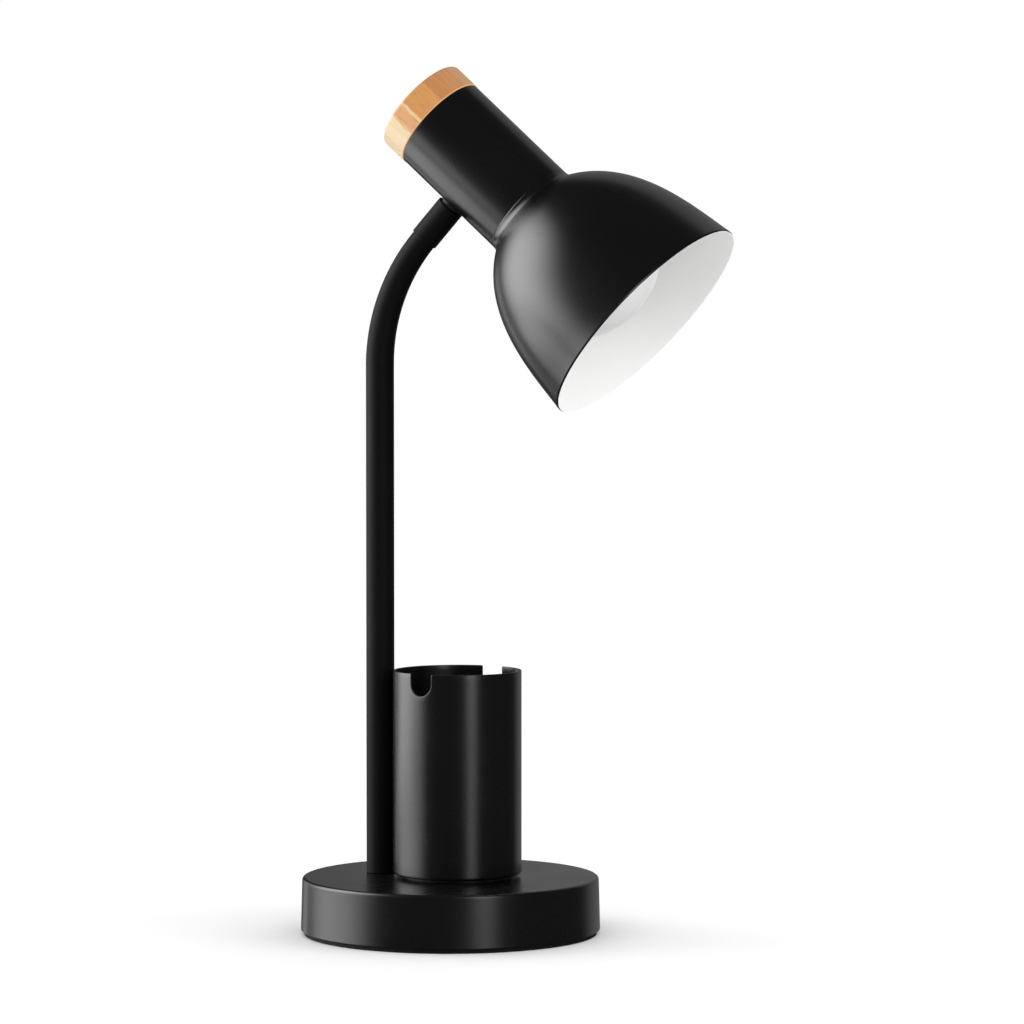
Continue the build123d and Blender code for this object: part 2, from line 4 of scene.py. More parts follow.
import bpy
import numpy as np
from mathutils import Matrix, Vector


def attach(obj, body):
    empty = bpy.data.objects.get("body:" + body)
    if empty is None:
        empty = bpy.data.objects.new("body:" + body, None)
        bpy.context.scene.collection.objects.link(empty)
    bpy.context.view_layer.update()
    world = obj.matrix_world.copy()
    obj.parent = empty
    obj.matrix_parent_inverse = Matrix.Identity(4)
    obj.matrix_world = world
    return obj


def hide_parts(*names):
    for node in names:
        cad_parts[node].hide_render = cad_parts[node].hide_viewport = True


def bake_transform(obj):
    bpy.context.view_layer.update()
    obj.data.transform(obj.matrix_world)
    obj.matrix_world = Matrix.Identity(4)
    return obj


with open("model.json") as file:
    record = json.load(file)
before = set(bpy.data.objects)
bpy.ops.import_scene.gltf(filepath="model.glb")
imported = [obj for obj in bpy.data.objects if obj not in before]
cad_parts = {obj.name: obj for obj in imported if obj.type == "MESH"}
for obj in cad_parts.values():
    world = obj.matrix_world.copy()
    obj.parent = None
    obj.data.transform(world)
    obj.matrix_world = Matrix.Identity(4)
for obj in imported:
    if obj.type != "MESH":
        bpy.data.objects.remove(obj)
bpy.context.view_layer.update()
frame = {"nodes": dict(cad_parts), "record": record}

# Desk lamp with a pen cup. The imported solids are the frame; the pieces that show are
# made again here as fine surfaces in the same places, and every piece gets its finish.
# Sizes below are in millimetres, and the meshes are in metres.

nodes = frame["nodes"]
slot_of_node = {part["node"]: part["material_slot"] for part in frame["record"]["subparts"]}

MM = 0.001

# Base
BASE_TOP = 28.6
BASE_FOOT = 2.2
BASE_TOP_RADIUS = 74.3
BASE_FOOT_RADIUS = 75.0
BASE_WALL = 1.5
BASE_EDGE = 1.6
INLET_HEIGHT = 10.2
INLET_HALF_HEIGHT = 4.25
BASE_COLUMNS = 256
INLET_HALF_COLUMNS = 2          # columns of the wall left out on each side of the inlet's middle

# Stem and neck
STEM_X = -38.2
STEM_RADIUS = 7.07
STEM_WALL = 1.2
STEM_TOP = 284.5
NECK_BEND_RADIUS = 93.8
NECK_BEND = radians(42.1)
NECK_LOW_RADIUS = 7.1
NECK_HIGH_RADIUS = 6.45
NECK_BORE_RADIUS = 5.45
HOSE_RADIUS = 5.33
HOSE_GROOVE = 0.25
HOSE_BORE_RADIUS = 4.75
HOSE_RIDGES = 5
RIDGE_STEPS = 8
SLEEVE_RINGS = 25
NECK_PIECES = 7
COLLAR_RADIUS = 7.15
COLLAR_LENGTH = 21.5
HEAD_GAP = 1.3

# Pen cup
CUP_X = 3.7
CUP_RADIUS = 32.15
CUP_WALL = 1.0
CUP_BOTTOM = 30.0
CUP_RIM = 132.2
CUP_FLOOR = 31.2
CUP_CORNER = 1.5
CUP_INSIDE_CORNER = 0.8
CUP_EDGE = 0.38
CUP_FOOT = 9.0                  # height above bottom and floor where its turned part ends
NOTCH_HALF = 6.0
NOTCH_DEPTH = 11.0
NOTCH_CORNER = 0.7
NOTCH_TURN = radians(-12.5)
NOTCH_SPREAD = 9.0              # how far the columns beside a notch spread out at the foot
CORNER_STEPS = 7
SIDE_STEPS = 6
NOTCH_STEPS = 41
RIM_STEPS = 60
WALL_STEPS = 40
EDGE_STEPS = 5

# Lamp head, along its own axis from the shade's shoulder
TUBE_RADIUS = 25.55
TUBE_WALL = 1.0
TUBE_LENGTH = 67.6
ARM_HEIGHT = 36.0
CAP_RADIUS = 25.8
CAP_TOP = 82.1
CAP_EDGE = 1.2
TENON_DEPTH = 5.0
TENON_GAP = 0.15
BELL = ((25.6, 0.0), (56.3, -19.0), (57.2, -59.0), (60.5, -79.5))
BELL_STEPS = 90
SHADE_WALL = 1.0
SHADE_WALL_RISE = 0.62          # how far the inside lies below the outside at the shoulder
SHADE_SEAT_GAP = 0.02
SHADE_LIP = 3.4                 # how far up the tube the lip reaches
LIP_STEPS = 12
LIP_LAND = 0.3
SPIGOT_LENGTH = 8.0
SPIGOT_GAP = 0.05
RIM_ROWS = 3                    # rows of the bell that make room for the rim's edges
RIM_BEVEL = 0.9
RIM_BEVEL_DEPTH = 0.5
RIM_WHITE = 0.1                 # height above the mouth where the white enamel starts
RIM_REACH = 0.75
GLOBE_RADIUS = 40.0
GLOBE_NOSE = 37.0
GLOBE_CENTRE = -33.9
GLOBE_BACK = -4.0
NOSE_STEPS = 48
REAR_STEPS = 31
FLARE_DRAW = 5.0
FLARE_STEPS = 28
BULB_NECK_RADIUS = 14.0
BULB_NECK_START = 10.0
BULB_SHOULDER = 18.6
BULB_EDGE = 0.3                 # width of the ring that keeps the globe's flat back flat


# Places
class Place:
    """A spot in the plane of the lamp, with an axis that leans from upright towards the front."""

    def __init__(self, x, z, lean):
        self.x, self.z, self.lean = x, z, lean

    def points(self, local):
        """Local points turned about Y by the lean, then moved to the spot."""
        across, side, along = local[..., 0], local[..., 1], local[..., 2]
        c, s = cos(self.lean), sin(self.lean)
        x = self.x + across * c + along * s
        z = self.z - across * s + along * c
        return np.stack([x, side, z], -1)

    def further(self, distance):
        """The spot that lies a distance up the axis."""
        x = self.x + distance * sin(self.lean)
        z = self.z + distance * cos(self.lean)
        return Place(x, z, self.lean)


def neck_place(share):
    """The place at a share of the bend, with its axis along the neck."""
    turn = NECK_BEND * share
    x = STEM_X + NECK_BEND_RADIUS * (1 - cos(turn))
    return Place(x, STEM_TOP + NECK_BEND_RADIUS * sin(turn), turn)


upright = Place(0, 0, 0)
stem_place = Place(STEM_X, 0, 0)
collar_place = neck_place(1)
tube_axis = collar_place.further(COLLAR_LENGTH + HEAD_GAP + TUBE_RADIUS)
head_lean = NECK_BEND - pi / 2
head_place = Place(tube_axis.x, tube_axis.z, head_lean).further(-ARM_HEIGHT)


# Profiles and surfaces
RING_SHARE = 0.35               # how far beyond an arc its ring lies, as a share of the edge radius


def bezier(corners, steps):
    """Points of a Bezier curve: each corner weighted by its Bernstein polynomial."""
    t = np.linspace(0, 1, steps)[:, None]
    weights = [(1 - t) ** 3, 3 * t * (1 - t) ** 2, 3 * t ** 2 * (1 - t), t ** 3]
    return sum(weight * np.array(corner) for weight, corner in zip(weights, corners))


def rounded(corners, closed=False, steps=7):
    """A profile from rows of radius, height and edge radius.

    Each edge is an arc tangent to both runs beside it, and each run gets a ring near the
    arc's ends, so that its flat stays flat under smooth shading.
    """
    spots = [np.array(corner[:2], float) for corner in corners]
    count = len(spots)
    profile = []
    for index, corner in enumerate(corners):
        edge = corner[2] if len(corner) > 2 else 0
        inner = closed or 0 < index < count - 1
        if not (edge and inner):
            profile.append(spots[index])
            continue
        here = spots[index]
        back = spots[index - 1] - here
        ahead = spots[(index + 1) % count] - here
        back, ahead = back / np.hypot(*back), ahead / np.hypot(*ahead)
        half_angle = np.arccos(np.clip(back @ ahead, -1, 1)) / 2
        reach = edge / np.tan(half_angle)
        middle = back + ahead
        centre = here + middle / np.hypot(*middle) * edge / np.sin(half_angle)
        start, end = here + back * reach - centre, here + ahead * reach - centre
        share = np.linspace(0, 1, steps)[:, None]
        opening = pi - 2 * half_angle
        arc = np.sin((1 - share) * opening) * start + np.sin(share * opening) * end
        arc /= np.sin(opening)
        margin = RING_SHARE * edge
        profile.append(here + back * (reach + margin))
        profile.extend(centre + arc)
        profile.append(here + ahead * (reach + margin))
    return np.array(profile)


def make_piece(name, points, bands, finishes, band_finish=None, sharp_rows=(), row_of_point=None):
    """A mesh piece from millimetre points and arrays of faces, with its faces outwards.

    The signed volume is the sum of the tetrahedra from the origin to each triangle, and
    the faces are turned over if it is below zero.
    """
    used, order = np.unique(np.concatenate([band.ravel() for band in bands]), return_inverse=True)
    points = points.reshape(-1, 3)[used] * MM
    cuts = np.cumsum([band.size for band in bands])[:-1]
    bands = [part.reshape(band.shape) for part, band in zip(np.split(order, cuts), bands)]
    volume = 0.0
    for band in bands:
        for second in range(1, band.shape[1] - 1):
            a, b, c = (points[band[:, k]] for k in (0, second, second + 1))
            volume += np.einsum("ij,ij->", a, np.cross(b, c))
    if volume < 0:
        bands = [band[:, ::-1] for band in bands]
    mesh = bpy.data.meshes.new(name)
    mesh.from_pydata(points, [], [face for band in bands for face in band.tolist()])
    mesh.polygons.foreach_set("use_smooth", np.ones(len(mesh.polygons), bool))
    for finish in finishes:
        mesh.materials.append(finish)
    if band_finish is not None:
        numbers = np.repeat(band_finish, [len(band) for band in bands])
        mesh.polygons.foreach_set("material_index", numbers.astype(np.int32))
    if len(sharp_rows):
        rows = np.asarray(row_of_point)[used]
        ends = np.empty(len(mesh.edges) * 2, np.int32)
        mesh.edges.foreach_get("vertices", ends)
        ends = rows[ends.reshape(-1, 2)]
        sharp = (ends[:, 0] == ends[:, 1]) & np.isin(ends[:, 0], sharp_rows)
        mesh.attributes.new("sharp_edge", "BOOLEAN", "EDGE").data.foreach_set("value", sharp)
    mesh.update()
    piece = bpy.data.objects.new(name, mesh)
    bpy.context.scene.collection.objects.link(piece)
    return piece


def grid_bands(rows, columns, first_pole, last_pole, closed_rows):
    """Faces between neighbouring rows of a grid whose columns wrap round.

    A row at a pole counts as one point.
    """
    index = np.arange(rows * columns).reshape(rows, columns)
    bands = []
    last = rows if closed_rows else rows - 1
    for row in range(last):
        low, high = index[row], index[(row + 1) % rows]
        low_next, high_next = np.roll(low, -1), np.roll(high, -1)
        if row == 0 and first_pole:
            bands.append(np.stack([np.full(columns, low[0]), high_next, high], -1))
        elif row == rows - 2 and last_pole:
            bands.append(np.stack([low, low_next, np.full(columns, high[0])], -1))
        else:
            bands.append(np.stack([low, low_next, high_next, high], -1))
    return bands


def turned_points(profile, place, columns):
    """A profile of radius and height carried round the place's axis in even steps."""
    turn = np.arange(columns) * 2 * pi / columns
    radius, height = profile[:, :1], profile[:, 1:2]
    local = np.stack([radius * np.cos(turn), radius * np.sin(turn), height + 0 * turn], -1)
    return place.points(local)


def turned_piece(name, profile, place, finishes, columns=192, band_finish=None):
    """A piece turned about the place's axis.

    A profile that starts or ends on the axis gets a pole there.
    """
    first_pole, last_pole = profile[0, 0] < 1e-6, profile[-1, 0] < 1e-6
    closed_rows = not (first_pole or last_pole)
    points = turned_points(profile, place, columns)
    bands = grid_bands(len(profile), columns, first_pole, last_pole, closed_rows)
    return make_piece(name, points, bands, finishes, band_finish)


# Finishes
def add_node(tree, kind, inputs=(), **settings):
    """A node with its settings, and its inputs linked to sockets or set to values."""
    node = tree.nodes.new(kind)
    for key, value in settings.items():
        setattr(node, key, value)
    for key, value in dict(inputs).items():
        if isinstance(value, bpy.types.NodeSocket):
            tree.links.new(value, node.inputs[key])
        else:
            node.inputs[key].default_value = value
    return node


def maths(tree, operation, first, second=0.0):
    """One sum on values or sockets."""
    return add_node(tree, "ShaderNodeMath", {0: first, 1: second}, operation=operation).outputs[0]


def mapped(tree, value, start, end, low=0.0, high=1.0, kind="LINEAR"):
    """A value carried from one range to another, and held at the ends."""
    inputs = {"Value": value, "From Min": start, "From Max": end, "To Min": low, "To Max": high}
    return add_node(tree, "ShaderNodeMapRange", inputs, interpolation_type=kind).outputs[0]


def new_group(name, inputs, outputs):
    """A node group with float or vector inputs and outputs, and its two end nodes."""
    group = bpy.data.node_groups.new(name, "ShaderNodeTree")
    for label, kind, value in inputs:
        socket = group.interface.new_socket(label, in_out="INPUT", socket_type=f"NodeSocket{kind}")
        if kind == "Float":
            socket.default_value = value
    for label, kind in outputs:
        group.interface.new_socket(label, in_out="OUTPUT", socket_type=f"NodeSocket{kind}")
    return group, group.nodes.new("NodeGroupInput"), group.nodes.new("NodeGroupOutput")


NOISE_RANGE = (0.3, 0.7)        # noise seldom leaves this range


def pebble_group():
    """Fine unevenness of a sprayed, moulded or cast skin, and broad patches.

    Height is noise at the grain's size in millimetres, and Patches is slow noise from 0 to 1.
    """
    group, given, out = new_group(
        "pebble",
        [("Grain", "Float", 1.0), ("Patch", "Float", 20.0)],
        [("Height", "Float"), ("Patches", "Float")],
    )
    place = add_node(group, "ShaderNodeTexCoord").outputs["Object"]
    grain = maths(group, "DIVIDE", 1000.0, given.outputs["Grain"])
    patch = maths(group, "DIVIDE", 1000.0, given.outputs["Patch"])
    fine = add_node(group, "ShaderNodeTexNoise", {"Vector": place, "Scale": grain, "Detail": 2.0})
    slow = add_node(group, "ShaderNodeTexNoise", {"Vector": place, "Scale": patch, "Detail": 3.0})
    patches = mapped(group, slow.outputs[0], *NOISE_RANGE)
    group.links.new(fine.outputs[0], out.inputs["Height"])
    group.links.new(patches, out.inputs["Patches"])
    return group


def streak_group():
    """Long fine lines along one axis, as in grain or brushing.

    The place is pressed together along the lines, so that noise at the line's width
    stretches; Streaks goes from 0 to 1.
    """
    group, given, out = new_group(
        "streaks",
        [("Place", "Vector", None), ("Width", "Float", 0.3), ("Stretch", "Float", 0.03)],
        [("Streaks", "Float")],
    )
    pressed = add_node(group, "ShaderNodeCombineXYZ", {0: 1.0, 1: 1.0, 2: given.outputs["Stretch"]})
    place = add_node(
        group, "ShaderNodeVectorMath",
        {0: given.outputs["Place"], 1: pressed.outputs[0]}, operation="MULTIPLY",
    )
    scale = maths(group, "DIVIDE", 1000.0, given.outputs["Width"])
    lines = add_node(
        group, "ShaderNodeTexNoise",
        {"Vector": place.outputs[0], "Scale": scale, "Detail": 3.0, "Roughness": 0.6},
    )
    group.links.new(mapped(group, lines.outputs[0], *NOISE_RANGE), out.inputs["Streaks"])
    return group


pebble = pebble_group()
streaks = streak_group()


def skin(name, colour, other, rough, rough_spread, grain, depth, patch, metallic=0.0, ior=1.45):
    """A finish with fine unevenness, patches between two colours and patches of gloss.

    Grain and patch are sizes in millimetres, and depth is the height of the grain.
    """
    finish = bpy.data.materials.new(name)
    finish.use_nodes = True
    tree = finish.node_tree
    shader = tree.nodes["Principled BSDF"]
    uneven = add_node(tree, "ShaderNodeGroup", {"Grain": grain, "Patch": patch}, node_tree=pebble)
    patches = uneven.outputs["Patches"]
    mixed = add_node(
        tree, "ShaderNodeMix", {0: patches, 6: (*colour, 1), 7: (*other, 1)}, data_type="RGBA"
    )
    gloss = mapped(tree, patches, 0.0, 1.0, rough - rough_spread, rough + rough_spread)
    bump = add_node(
        tree, "ShaderNodeBump",
        {"Height": uneven.outputs["Height"], "Distance": depth * MM, "Strength": 1.0},
    )
    tree.links.new(mixed.outputs[2], shader.inputs["Base Color"])
    tree.links.new(gloss, shader.inputs["Roughness"])
    tree.links.new(bump.outputs[0], shader.inputs["Normal"])
    shader.inputs["Metallic"].default_value = metallic
    shader.inputs["IOR"].default_value = ior
    return finish


# Wooden cap: its strips, with where each starts as a share of the width and its colour
STRIP_TONES_AND_HIGHLIGHT = (
    # The first strip is partly the wood's pale tone and partly a painted highlight: its colour is
    # lighter to stand for the left light's sheen on that side.
    (0.0, (0.88, 0.67, 0.425)),
    (0.232, (0.74, 0.375, 0.16)),
    (0.362, (0.86, 0.58, 0.3)),
    (0.378, (0.675, 0.3, 0.082)),
    (0.66, (0.535, 0.218, 0.069)),
    (0.816, (0.52, 0.235, 0.088)),
    (0.93, (0.52, 0.28, 0.135)),
)
STRIP_TURN = radians(-16.9)
SEAM_SHARE = 0.03               # width of a seam between two tones, as a share of the cap
SEAM_STRIP_SHARE = 0.35         # and at most this share of its strip
SEAM_WANDER = 1.6
WANDER_SCALE = 260.0            # noise cells in a metre
SANDED_FOOT = (0.6, 0.3)        # heights between which the sanded edge fades in
SANDED_COLOUR = (0.82, 0.4, 0.17)
FIBRES = {"Width": 0.45, "Stretch": 0.03}
BROAD_GRAIN = {"Width": 2.6, "Stretch": 0.06}
FLECKS = {"Width": 1.5, "Stretch": 0.16}
FIBRE_SHADES = (0.86, 1.05)     # what the tones are multiplied by, from the dark lines to the light
BROAD_SHADES = (0.93, 1.05)
FLECK_START = 0.8               # streaks above this are flecks
FLECK_SHADE = 0.68
FIBRE_ROUGH = (0.5, 0.38)
FIBRE_DEPTH = 0.03


def lay_strips(ramp):
    """Each strip keeps its tone up to the seam, and the seam runs over to the next tone."""
    while len(ramp.elements) > 1:
        ramp.elements.remove(ramp.elements[0])
    ramp.elements[0].position = 0.0
    ramp.elements[0].color = (*STRIP_TONES_AND_HIGHLIGHT[0][1], 1)
    for (start, colour), (following, next_colour) in zip(STRIP_TONES_AND_HIGHLIGHT, STRIP_TONES_AND_HIGHLIGHT[1:]):
        seam = min(SEAM_SHARE, SEAM_STRIP_SHARE * (following - start))
        ramp.elements.new(following - seam).color = (*colour, 1)
        ramp.elements.new(following).color = (*next_colour, 1)


def bamboo_finish():
    """Strips glued side by side, with long fibres along the head's axis and dots on the end face.

    The place is turned into the head's frame. Which strip a point is in comes from its
    distance across the cap, moved a little by slow noise so that the seams wander, and
    each strip has its own tone. The first, pale strip's tone is partly the wood's own and
    partly a painted highlight from the left light. Short dark flecks follow the fibres,
    and the sanded edge at the foot is lighter.
    """
    finish = bpy.data.materials.new("bamboo_strips_and_highlight")
    finish.use_nodes = True
    tree = finish.node_tree
    shader = tree.nodes["Principled BSDF"]
    place = add_node(tree, "ShaderNodeTexCoord").outputs["Object"]
    middle = head_place.further(TUBE_LENGTH)
    turned = add_node(
        tree, "ShaderNodeMapping", {
            "Vector": place, "Location": (middle.x * MM, 0, middle.z * MM),
            "Rotation": (0, head_lean, 0),
        }, vector_type="TEXTURE",
    ).outputs[0]
    laid = add_node(
        tree, "ShaderNodeMapping", {"Vector": turned, "Rotation": (0, 0, STRIP_TURN)}
    ).outputs[0]
    side, _, height = add_node(tree, "ShaderNodeSeparateXYZ", {0: laid}).outputs

    wander = add_node(
        tree, "ShaderNodeTexNoise", {"Vector": laid, "Scale": WANDER_SCALE, "Detail": 2.0}
    ).outputs[0]
    moved = maths(tree, "MULTIPLY", maths(tree, "SUBTRACT", wander, 0.5), SEAM_WANDER * MM)
    across = maths(tree, "ADD", side, moved)
    share = maths(tree, "MULTIPLY_ADD", across, 1 / (2 * CAP_RADIUS * MM))
    share.node.inputs[2].default_value = 0.5
    tones = add_node(tree, "ShaderNodeValToRGB", {0: share})
    lay_strips(tones.color_ramp)

    fibres, broad, short = (
        add_node(tree, "ShaderNodeGroup", {"Place": laid, **sizes}, node_tree=streaks).outputs[0]
        for sizes in (FIBRES, BROAD_GRAIN, FLECKS)
    )
    dark = mapped(tree, fibres, 0.0, 1.0, *FIBRE_SHADES)
    slow = mapped(tree, broad, 0.0, 1.0, *BROAD_SHADES)
    flecks = mapped(tree, short, FLECK_START, 1.0, 1.0, FLECK_SHADE)
    shading = maths(tree, "MULTIPLY", maths(tree, "MULTIPLY", dark, slow), flecks)
    toned = add_node(
        tree, "ShaderNodeVectorMath", {0: tones.outputs[0], "Scale": shading}, operation="SCALE"
    )
    foot = mapped(tree, height, SANDED_FOOT[0] * MM, SANDED_FOOT[1] * MM)
    lined = add_node(
        tree, "ShaderNodeMix",
        {0: foot, 6: toned.outputs[0], 7: (*SANDED_COLOUR, 1)}, data_type="RGBA",
    )
    rough = mapped(tree, fibres, 0.0, 1.0, *FIBRE_ROUGH)
    bump = add_node(
        tree, "ShaderNodeBump",
        {"Height": fibres, "Distance": FIBRE_DEPTH * MM, "Strength": 1.0},
    )
    tree.links.new(lined.outputs[2], shader.inputs["Base Color"])
    tree.links.new(rough, shader.inputs["Roughness"])
    tree.links.new(bump.outputs[0], shader.inputs["Normal"])
    return finish


# Finish of each slot. The black paint's index is high, for a satin coat with a strong sheen.
PAINT_BLACK = (0.0022, 0.0022, 0.0023)
PAINT_BLACK_WORN = (0.0028, 0.0028, 0.0028)
satin_black = skin(
    "satin_black_paint", PAINT_BLACK, PAINT_BLACK_WORN,
    rough=0.27, rough_spread=0.015, grain=1.4, depth=0.006, patch=30, ior=1.85,
)
dull_black = skin(
    "dull_black_tube", PAINT_BLACK, PAINT_BLACK_WORN,
    rough=0.6, rough_spread=0.02, grain=0.9, depth=0.004, patch=25, ior=1.33,
)
white_enamel = skin(
    "white_enamel", (0.88, 0.88, 0.87), (0.86, 0.86, 0.85),
    rough=0.45, rough_spread=0.03, grain=1.2, depth=0.006, patch=25,
)
opal = skin(
    "opal_glass", (0.62, 0.62, 0.616), (0.6, 0.6, 0.596),
    rough=0.33, rough_spread=0.02, grain=2.5, depth=0.003, patch=30,
)
finish_of_slot = {
    "black_paint": satin_black,
    "shade_paint": satin_black,
    "sleeve": dull_black,
    "bamboo": bamboo_finish(),
    "steel": skin(
        "zinc_plated_steel", (0.55, 0.56, 0.57), (0.47, 0.48, 0.5),
        rough=0.32, rough_spread=0.06, grain=0.5, depth=0.006, patch=4, metallic=1.0,
    ),
    "hose_steel": skin(
        "plain_hose_steel", (0.32, 0.33, 0.34), (0.26, 0.26, 0.27),
        rough=0.42, rough_spread=0.06, grain=0.6, depth=0.01, patch=5, metallic=1.0,
    ),
    "brass": skin(
        "stamped_brass", (0.72, 0.54, 0.24), (0.62, 0.44, 0.18),
        rough=0.3, rough_spread=0.06, grain=0.5, depth=0.006, patch=4, metallic=1.0,
    ),
    "iron": skin(
        "cast_iron", (0.1, 0.1, 0.102), (0.15, 0.145, 0.14),
        rough=0.68, rough_spread=0.08, grain=1.3, depth=0.12, patch=14, metallic=0.6,
    ),
    "black_plastic": skin(
        "moulded_black_plastic", (0.012, 0.012, 0.012), (0.016, 0.016, 0.016),
        rough=0.5, rough_spread=0.04, grain=0.4, depth=0.012, patch=15,
    ),
    "white_plastic": skin(
        "moulded_white_plastic", (0.78, 0.78, 0.765), (0.74, 0.74, 0.72),
        rough=0.42, rough_spread=0.03, grain=0.5, depth=0.005, patch=20,
    ),
    "opal": opal,
    "cap_metal": skin(
        "nickelled_screw_cap", (0.66, 0.65, 0.63), (0.56, 0.55, 0.53),
        rough=0.28, rough_spread=0.06, grain=0.6, depth=0.008, patch=5, metallic=1.0,
    ),
    "rubber": skin(
        "black_rubber", (0.005, 0.005, 0.005), (0.007, 0.007, 0.007),
        rough=0.7, rough_spread=0.05, grain=0.35, depth=0.02, patch=9, ior=1.39,
    ),
    "lead_cover": skin(
        "lead_cover", (0.02, 0.02, 0.02), (0.028, 0.028, 0.028),
        rough=0.48, rough_spread=0.05, grain=0.5, depth=0.01, patch=8,
    ),
}
for node_name, node in nodes.items():
    for place_number in range(len(node.material_slots)):
        node.material_slots[place_number].material = finish_of_slot[slot_of_node[node_name]]


def stand_for(piece, body, slot_name, *replaced):
    """The piece rides on its body and stands for the nodes; the slot name is not used."""
    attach(piece, body)
    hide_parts(*replaced)


# Base
def base_casing():
    """A pressed cup turned about Z, open to the cord at the back.

    The profile runs over the outside and back along the inside. Cells of the outer and
    the inner wall behind the cord's grommet are left out, and four short walls join them.
    """
    def wall(height, inset):
        share = (height - BASE_FOOT) / (BASE_TOP - BASE_FOOT)
        return BASE_FOOT_RADIUS + (BASE_TOP_RADIUS - BASE_FOOT_RADIUS) * share - inset

    low, high = INLET_HEIGHT - INLET_HALF_HEIGHT, INLET_HEIGHT + INLET_HALF_HEIGHT
    inside_top = BASE_TOP - BASE_WALL
    profile = rounded([
        (0, BASE_TOP), (wall(BASE_TOP, 0), BASE_TOP, BASE_EDGE),
        (wall(high, 0), high), (wall(low, 0), low),
        (wall(BASE_FOOT, 0), BASE_FOOT, 0.3), (wall(BASE_FOOT, BASE_WALL), BASE_FOOT, 0.3),
        (wall(low, BASE_WALL), low), (wall(high, BASE_WALL), high),
        (wall(inside_top, BASE_WALL), inside_top, 0.5), (0, inside_top),
    ])
    columns = BASE_COLUMNS
    points = turned_points(profile, upright, columns)
    bands = grid_bands(len(profile), columns, True, True, False)
    rows = [int(np.argmin(np.hypot(profile[:, 0] - wall(h, i), profile[:, 1] - h)))
            for h, i in ((high, 0), (low, 0), (low, BASE_WALL), (high, BASE_WALL))]
    first, last = columns // 2 - INLET_HALF_COLUMNS, columns // 2 + INLET_HALF_COLUMNS
    for row in (rows[0], rows[2]):
        bands[row] = np.delete(bands[row], np.arange(first, last), axis=0)
    index = np.arange(len(profile) * columns).reshape(-1, columns)
    for outer, inner in ((rows[0], rows[3]), (rows[1], rows[2])):
        a, b = index[outer, first:last + 1], index[inner, first:last + 1]
        side = np.stack([a[:-1], a[1:], b[1:], b[:-1]], -1)
        bands.append(side if outer == rows[0] else side[:, ::-1])
    for column in (first, last):
        side = np.array([[index[rows[0], column], index[rows[3], column],
                          index[rows[2], column], index[rows[1], column]]])
        bands.append(side if column == first else side[:, ::-1])
    return make_piece("base_casing", points, bands, [satin_black])


stand_for(base_casing(), "base", "black_paint", "base_shell")

stem_inside = STEM_RADIUS - STEM_WALL
stem_profile = rounded([
    (stem_inside, BASE_TOP, 0.2), (STEM_RADIUS, BASE_TOP, 0.35),
    (STEM_RADIUS, STEM_TOP, 0.12), (stem_inside, STEM_TOP, 0.12),
], closed=True)
stem = turned_piece("stem_pipe", stem_profile, stem_place, [dull_black], columns=96)
stand_for(stem, "base", "black_paint", "stem_tube")


# Pen cup
def rim_outline(radius, inset):
    """The cup's rim with its two notches, as angle and height on a cylinder of that radius.

    Each notch runs round a corner, down a straight side, round a half circle and back up.
    An inset moves the line into the metal. A distance across the notch is an angle by the
    arc sine of its share of the radius.
    """
    straight_end = CUP_RIM - (NOTCH_DEPTH - NOTCH_HALF)
    half = NOTCH_HALF + inset
    bend = np.linspace(0, pi / 2, CORNER_STEPS)
    corner_x = -(NOTCH_HALF + NOTCH_CORNER) + (NOTCH_CORNER - inset) * np.sin(bend)
    corner_z = CUP_RIM - NOTCH_CORNER + (NOTCH_CORNER - inset) * np.cos(bend)
    side_z = np.linspace(CUP_RIM - NOTCH_CORNER, straight_end, SIDE_STEPS + 2)[1:-1]
    swing = np.linspace(0, pi, NOTCH_STEPS)
    left_x = np.concatenate([corner_x, np.full(SIDE_STEPS, -half)])
    left_z = np.concatenate([corner_z, side_z])
    x = np.concatenate([left_x, -half * np.cos(swing), -left_x[::-1]])
    z = np.concatenate([left_z, straight_end - half * np.sin(swing), left_z[::-1]])
    notch = np.arcsin(x / radius)
    angles, heights = [], []
    for side in (-pi / 2 + NOTCH_TURN, pi / 2 + NOTCH_TURN):
        rim = np.linspace(notch[-1], pi + notch[0], RIM_STEPS + 2)[1:-1]
        angles += [side + notch, side + rim]
        heights += [z, np.full(RIM_STEPS, CUP_RIM - inset)]
    return np.concatenate(angles), np.concatenate(heights)


def cup_foot_angles():
    """The angles at the foot of the rim outline's columns: beside a notch they spread outwards."""
    spread = NOTCH_SPREAD / CUP_RADIUS
    half = asin(NOTCH_HALF / CUP_RADIUS)
    left = np.linspace(-half - spread, -half, CORNER_STEPS + SIDE_STEPS + 1)[:-1]
    swing = np.arcsin(-NOTCH_HALF * np.cos(np.linspace(0, pi, NOTCH_STEPS)) / CUP_RADIUS)
    notch = np.concatenate([left, swing, -left[::-1]])
    rim = np.linspace(notch[-1], pi + notch[0], RIM_STEPS + 2)[1:-1]
    parts = []
    for side in (-pi / 2 + NOTCH_TURN, pi / 2 + NOTCH_TURN):
        parts += [side + notch, side + rim]
    return np.concatenate(parts)


def cup_wall_rows(radius, foot, steps):
    """Rows of a wall from its foot height up to the rim's outline, straight in angle and height."""
    top_angle, top_height = rim_outline(radius, CUP_EDGE)
    low_angle = cup_foot_angles()
    share = np.linspace(0, 1, steps)[:, None]
    angle = low_angle + (top_angle - low_angle) * share
    height = foot + (top_height - foot) * share
    return np.stack([radius * np.cos(angle), radius * np.sin(angle), height], -1)


